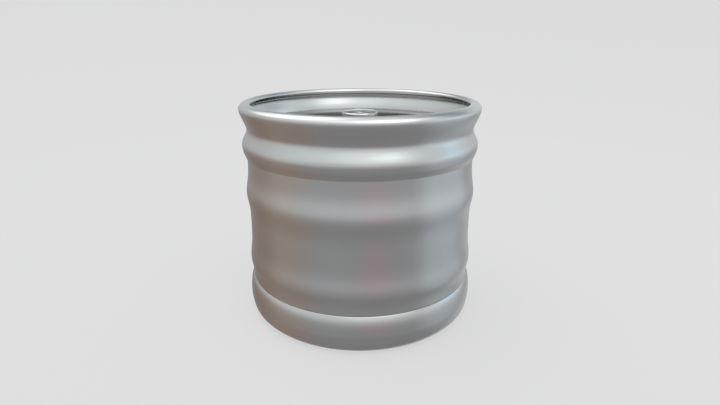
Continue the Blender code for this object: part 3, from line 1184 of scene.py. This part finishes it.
class KEG_OT_stage(bpy.types.Operator):
    """Sets the pale seamless backdrop, the soft studio surround and the camera."""

    bl_idname = "keg.stage"
    bl_label = "Stage"

    def execute(self, context):
        studio = context.scene.keg_studio
        context.scene.view_settings.view_transform = "Standard"
        self.make_backdrop(studio)
        self.make_surround(context)
        self.make_lamp()
        self.make_camera(context, studio)
        return {"FINISHED"}

    def make_backdrop(self, studio):
        """A round floor that sweeps up into a wall on every side."""
        radius, sweep, height, count = 2.6, 0.9, 3.2, 12
        line = [(radius, height)]
        for step in range(count + 1):
            angle = math.pi / 2 * step / count
            line.append(
                (radius - sweep + sweep * math.cos(angle), sweep - sweep * math.sin(angle))
            )
        line.append((0.0, 0.0))
        line.reverse()
        backdrop = outline_piece("seamless_backdrop", line, closed=False)
        turn(backdrop, 96)
        paper = backdrop_paint("seamless_paper", studio.floor, glow=0.57)
        backdrop.data.materials.append(paper)
        backdrop.visible_glossy = False

    def make_surround(self, context):
        """What the steel reflects: a grey room that brightens upwards, with soft tinted panels."""
        world = bpy.data.worlds.new("studio_surround")
        context.scene.world = world
        world.use_nodes = True
        nodes = world.node_tree.nodes
        links = world.node_tree.links
        nodes.clear()
        grey = nodes.new("NodeFrame")
        grey.label = "Grey room that brightens upwards"
        look = nodes.new("ShaderNodeTexCoord")
        look.label = "Direction"
        split = nodes.new("ShaderNodeSeparateXYZ")
        split.label = "Up part"
        climb = nodes.new("ShaderNodeMath")
        climb.label = "Angle above level"
        climb.operation = "ARCSINE"
        share = nodes.new("ShaderNodeMapRange")
        share.label = "Floor to ceiling"
        share.inputs["From Min"].default_value = -math.pi / 2
        share.inputs["From Max"].default_value = math.pi / 2
        room = nodes.new("ShaderNodeValToRGB")
        room.label = "Room brightness"
        for step, node in enumerate((look, split, climb, share, room)):
            node.parent = grey
            node.location = (-1400 + 200 * step, 0)
        # Each stop: degrees above level, brightness, red beside green.
        stops = (
            (-90, 0.27, 1.0), (-45, 0.32, 1.0), (-26, 0.37, 0.99), (-14, 0.45, 0.98),
            (-4, 0.62, 0.97), (7, 0.77, 0.96), (22, 0.83, 0.94), (36, 0.99, 0.93),
            (48, 1.24, 0.96), (60, 1.50, 0.98), (90, 1.25, 1.0),
        )
        faint_blue = 1.01
        ramp = room.color_ramp
        while len(ramp.elements) < len(stops):
            ramp.elements.new(0.5)
        for element, (degrees, level, red) in zip(ramp.elements, stops):
            element.position = (degrees + 90) / 180
            element.color = (level * red, level, level * faint_blue, 1.0)
        links.new(look.outputs["Generated"], split.inputs[0])
        links.new(split.outputs["Z"], climb.inputs[0])
        links.new(climb.outputs[0], share.inputs["Value"])
        links.new(share.outputs["Result"], room.inputs["Fac"])
        # Each panel: its label, degrees right of the camera's side, degrees above level,
        # half-width in degrees and what it adds to the room's colour.
        panels = (
            ("Window behind, left", -128, 52, 34, (1.00, 1.00, 0.95)),
            ("Softbox, front right", 18, 40, 46, (0.15, 0.15, 0.15)),
            ("Skylight, front right", 36, 57, 29, (0.80, 0.79, 0.78)),
            ("Dim wall behind", 178, 50, 44, (-0.46, -0.47, -0.47)),
            ("Pale wall, right", 92, -8, 43, (0.17, 0.21, 0.24)),
            ("Blue pane, right", 96, 10, 16, (-0.02, 0.12, 0.24)),
            ("Warm wall, left", -98, -26, 56, (0.04, -0.03, -0.08)),
            ("Shade, left", -138, 6, 64, (-0.115, -0.12, -0.115)),
            ("Rosy panel, low", 15, -12, 24, (0.05, -0.022, 0.0)),
            ("Dark corner, right", 122, 44, 30, (-0.45, -0.42, -0.40)),
            ("Floor glow behind, right", 146, -44, 34, (0.20, 0.21, 0.22)),
        )
        tints = nodes.new("NodeFrame")
        tints.label = "Soft tinted panels"
        colour = room.outputs["Color"]
        for index, (label, bearing, rise, spread, tint) in enumerate(panels):
            down = -260 - 220 * index
            bearing, rise = math.radians(bearing), math.radians(rise)
            aim = nodes.new("ShaderNodeVectorMath")
            aim.label = label
            aim.operation = "DOT_PRODUCT"
            aim.inputs[1].default_value = (
                math.sin(bearing) * math.cos(rise),
                -math.cos(bearing) * math.cos(rise),
                math.sin(rise),
            )
            soft = nodes.new("ShaderNodeMapRange")
            soft.label = label + ", soft edge"
            soft.interpolation_type = "SMOOTHERSTEP"
            soft.inputs["From Min"].default_value = math.cos(math.radians(spread))
            soft.inputs["From Max"].default_value = 1.0
            glow = nodes.new("ShaderNodeVectorMath")
            glow.label = label + ", tint"
            glow.operation = "SCALE"
            glow.inputs[0].default_value = tint
            joined = nodes.new("ShaderNodeVectorMath")
            joined.label = label + ", added"
            joined.operation = "ADD"
            for step, node in enumerate((aim, soft, glow, joined)):
                node.parent = tints
                node.location = (-1000 + 200 * step, down)
            links.new(look.outputs["Generated"], aim.inputs[0])
            links.new(aim.outputs["Value"], soft.inputs["Value"])
            links.new(soft.outputs["Result"], glow.inputs["Scale"])
            links.new(colour, joined.inputs[0])
            links.new(glow.outputs["Vector"], joined.inputs[1])
            colour = joined.outputs["Vector"]
        light = nodes.new("ShaderNodeBackground")
        light.label = "Surround"
        light.location = (100, 0)
        output = nodes.new("ShaderNodeOutputWorld")
        output.label = "World"
        output.location = (300, 0)
        links.new(colour, light.inputs["Color"])
        links.new(light.outputs["Background"], output.inputs["Surface"])

    def make_lamp(self):
        """One broad soft lamp overhead. It lights the paper; the steel shows the surround."""
        lamp = bpy.data.lights.new("broad_lamp", "AREA")
        lamp.shape = "DISK"
        lamp.size = 2.6
        lamp.energy = 10.0
        holder = link(bpy.data.objects.new("broad_lamp", lamp))
        holder.location = (-0.3, -0.3, 2.9)
        holder.rotation_euler = (math.radians(-6), math.radians(-6), 0.0)
        holder.visible_glossy = False
        holder.visible_camera = False

    def make_camera(self, context, studio):
        """A camera in front of the keg and a little above it."""
        lens = bpy.data.cameras.new("camera")
        lens.sensor_width = 36.0
        picture_shape = 405 / 720
        frame_height = lens.sensor_width * picture_shape
        lens.lens = frame_height / 2 / math.tan(studio.view_angle / 2)
        eye = link(bpy.data.objects.new("camera", lens))
        back = Vector((0.0, -math.cos(studio.elevation), math.sin(studio.elevation)))
        eye.location = Vector((0.0, 0.0, studio.aim_height)) + back * studio.distance
        eye.rotation_euler = (-back).to_track_quat("-Z", "Y").to_euler()
        context.scene.camera = eye


class KEG_PT_sidebar(bpy.types.Panel):
    """Lists the pieces in the sidebar."""

    bl_idname = "KEG_PT_sidebar"
    bl_label = "Beer Keg"
    bl_space_type = "VIEW_3D"
    bl_region_type = "UI"
    bl_category = "Keg"

    def draw(self, context):
        for operator in OPERATORS:
            self.layout.operator(operator.bl_idname)
        for group in (context.scene.keg_shape, context.scene.keg_finish, context.scene.keg_studio):
            column = self.layout.column()
            for name in group.__annotations__:
                column.prop(group, name)


OPERATORS = (
    KEG_OT_chimes, KEG_OT_wall, KEG_OT_domes, KEG_OT_welds, KEG_OT_neck, KEG_OT_housing,
    KEG_OT_basket, KEG_OT_gas_valve, KEG_OT_ball, KEG_OT_springs, KEG_OT_stage,
)
GROUPS = (KegShape, KegFinish, KegStudio)


def register():
    """Registers the classes and hangs the settings on the scene."""
    for item in (*GROUPS, *OPERATORS, KEG_PT_sidebar):
        bpy.utils.register_class(item)
    bpy.types.Scene.keg_shape = bpy.props.PointerProperty(type=KegShape)
    bpy.types.Scene.keg_finish = bpy.props.PointerProperty(type=KegFinish)
    bpy.types.Scene.keg_studio = bpy.props.PointerProperty(type=KegStudio)


def unregister():
    """Takes away what register adds."""
    del bpy.types.Scene.keg_studio
    del bpy.types.Scene.keg_finish
    del bpy.types.Scene.keg_shape
    for item in reversed((*GROUPS, *OPERATORS, KEG_PT_sidebar)):
        bpy.utils.unregister_class(item)


def main():
    """Makes every piece and the stage."""
    register()
    bpy.ops.keg.chimes()
    bpy.ops.keg.wall()
    bpy.ops.keg.domes()
    bpy.ops.keg.welds()
    bpy.ops.keg.neck()
    bpy.ops.keg.housing()
    bpy.ops.keg.basket()
    bpy.ops.keg.gas_valve()
    bpy.ops.keg.ball()
    bpy.ops.keg.springs()
    bpy.ops.keg.stage()


if __name__ == "__main__":
    main()
